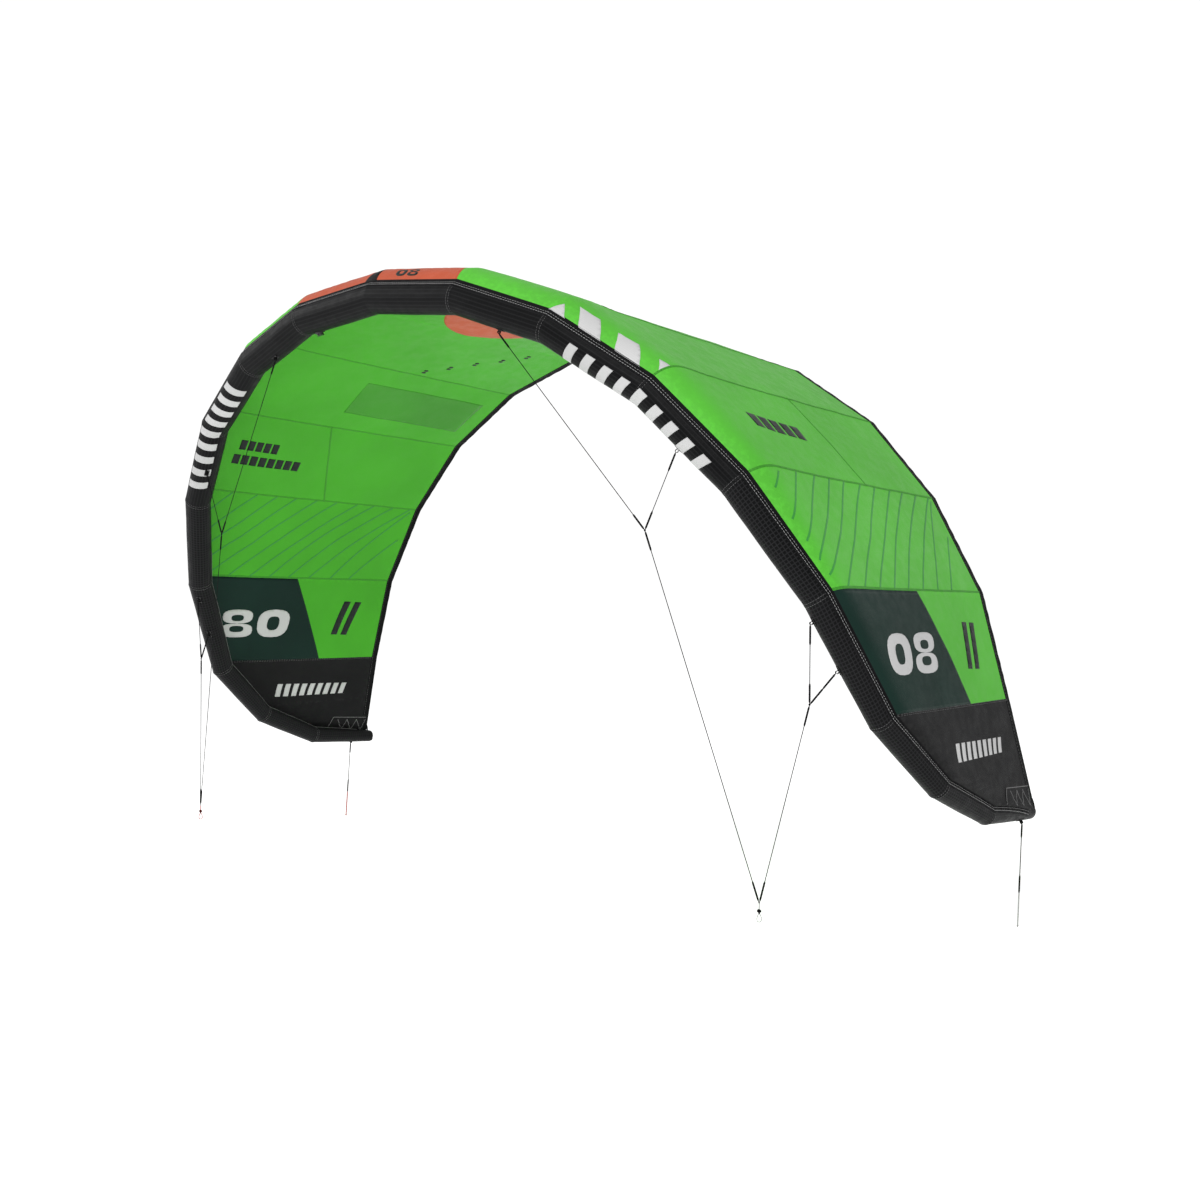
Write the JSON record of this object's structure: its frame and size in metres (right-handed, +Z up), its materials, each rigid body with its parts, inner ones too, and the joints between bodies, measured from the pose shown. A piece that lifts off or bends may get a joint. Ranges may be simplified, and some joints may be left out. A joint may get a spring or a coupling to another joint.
{
  "type": "kitesurf kite",
  "caption": "Strutless inflatable kitesurf kite in flying shape: panelled leading-edge tube, arched cloth canopy with dark edges, bridle and line ends.",
  "frame": {"origin": "axis of the leading-edge tube on the kite's centre line", "axes": "+X to the kite's right-hand tip, +Y from the leading edge to the trailing edge, +Z up, out of the arch"},
  "size_m": [3.9726, 1.6712, 2.5018],
  "materials": {
    "casing": "woven polyester casing, fine grid, slight sheen",
    "canopy": "thin ripstop canopy cloth, smooth, slight sheen",
    "canopy_dark": "thin dark ripstop cloth",
    "webbing": "sewn tape and webbing with visible stitches",
    "bladder": "thin polyurethane film",
    "line": "braided line",
    "sleeve": "tight braided cover over the line ends",
    "valve": "moulded soft plastic"
  },
  "bodies": {
    "kite": {"casing_1_right": "casing", "casing_1_left": "casing", "casing_2_right": "casing", "casing_2_left": "casing", "casing_3_right": "casing", "casing_3_left": "casing", "casing_4_right": "casing", "casing_4_left": "casing", "casing_5_right": "casing", "casing_5_left": "casing", "casing_6_right": "casing", "casing_6_left": "casing", "casing_tip_right": "casing", "casing_tip_left": "casing", "canopy_1_right": "canopy", "canopy_1_left": "canopy", "canopy_2_right": "canopy", "canopy_2_left": "canopy", "canopy_3_right": "canopy", "canopy_3_left": "canopy", "canopy_4_right": "canopy", "canopy_4_left": "canopy", "canopy_5_right": "canopy", "canopy_5_left": "canopy", "canopy_6_right": "canopy", "canopy_6_left": "canopy", "canopy_tip_right": "canopy_dark", "canopy_tip_left": "canopy_dark", "seam_tape_right": "webbing", "seam_tape_left": "webbing", "edge_tape_right": "webbing", "edge_tape_left": "webbing", "tip_patch_right": "webbing", "tip_patch_left": "webbing", "bridle_loops_right": "webbing", "bridle_loops_left": "webbing", "front_inner_leg_right": "line", "front_inner_leg_left": "line", "front_outer_leg_right": "line", "front_outer_leg_left": "line", "rear_inner_leg_right": "line", "rear_inner_leg_left": "line", "rear_outer_leg_right": "line", "rear_outer_leg_left": "line", "rear_pigtail_right": "line", "rear_pigtail_left": "line", "leg_sleeves_right": "sleeve", "leg_sleeves_left": "sleeve", "bladder": "bladder", "valve_base": "valve"},
    "lower_bridle_right": {"front_lower_line_right": "line", "rear_lower_line_right": "line", "line_sleeves_right": "sleeve"},
    "lower_bridle_left": {"front_lower_line_left": "line", "rear_lower_line_left": "line", "line_sleeves_left": "sleeve"},
    "front_pigtail_right": {"front_pigtail_right": "line"},
    "front_pigtail_left": {"front_pigtail_left": "line"},
    "valve_lid": {"valve_lid": "valve"}
  },
  "joints": [
    {"name": "lower_bridle_swing_right", "type": "hinge", "parent": "kite", "child": "lower_bridle_right", "pos_m": [1.228, 0.153, -0.899], "axis": [0.6305, 0.3, -0.7159], "range_deg": [-22, 22]},
    {"name": "front_pigtail_swing_right", "type": "hinge", "parent": "lower_bridle_right", "child": "front_pigtail_right", "pos_m": [1.613, 0.298, -2.16], "axis": [1, 0, 0], "range_deg": [-60, 60]},
    {"name": "lower_bridle_swing_left", "type": "hinge", "parent": "kite", "child": "lower_bridle_left", "pos_m": [-1.228, 0.153, -0.899], "axis": [0.6305, -0.3, 0.7159], "range_deg": [-22, 22]},
    {"name": "front_pigtail_swing_left", "type": "hinge", "parent": "lower_bridle_left", "child": "front_pigtail_left", "pos_m": [-1.613, 0.298, -2.16], "axis": [1, 0, 0], "range_deg": [-60, 60]},
    {"name": "valve_lid_open", "type": "hinge", "parent": "kite", "child": "valve_lid", "pos_m": [-0.37759, 0.01801, -0.11275], "axis": [-0.9951, 0.0262, -0.0958], "range_deg": [0, 110]}
  ]
}
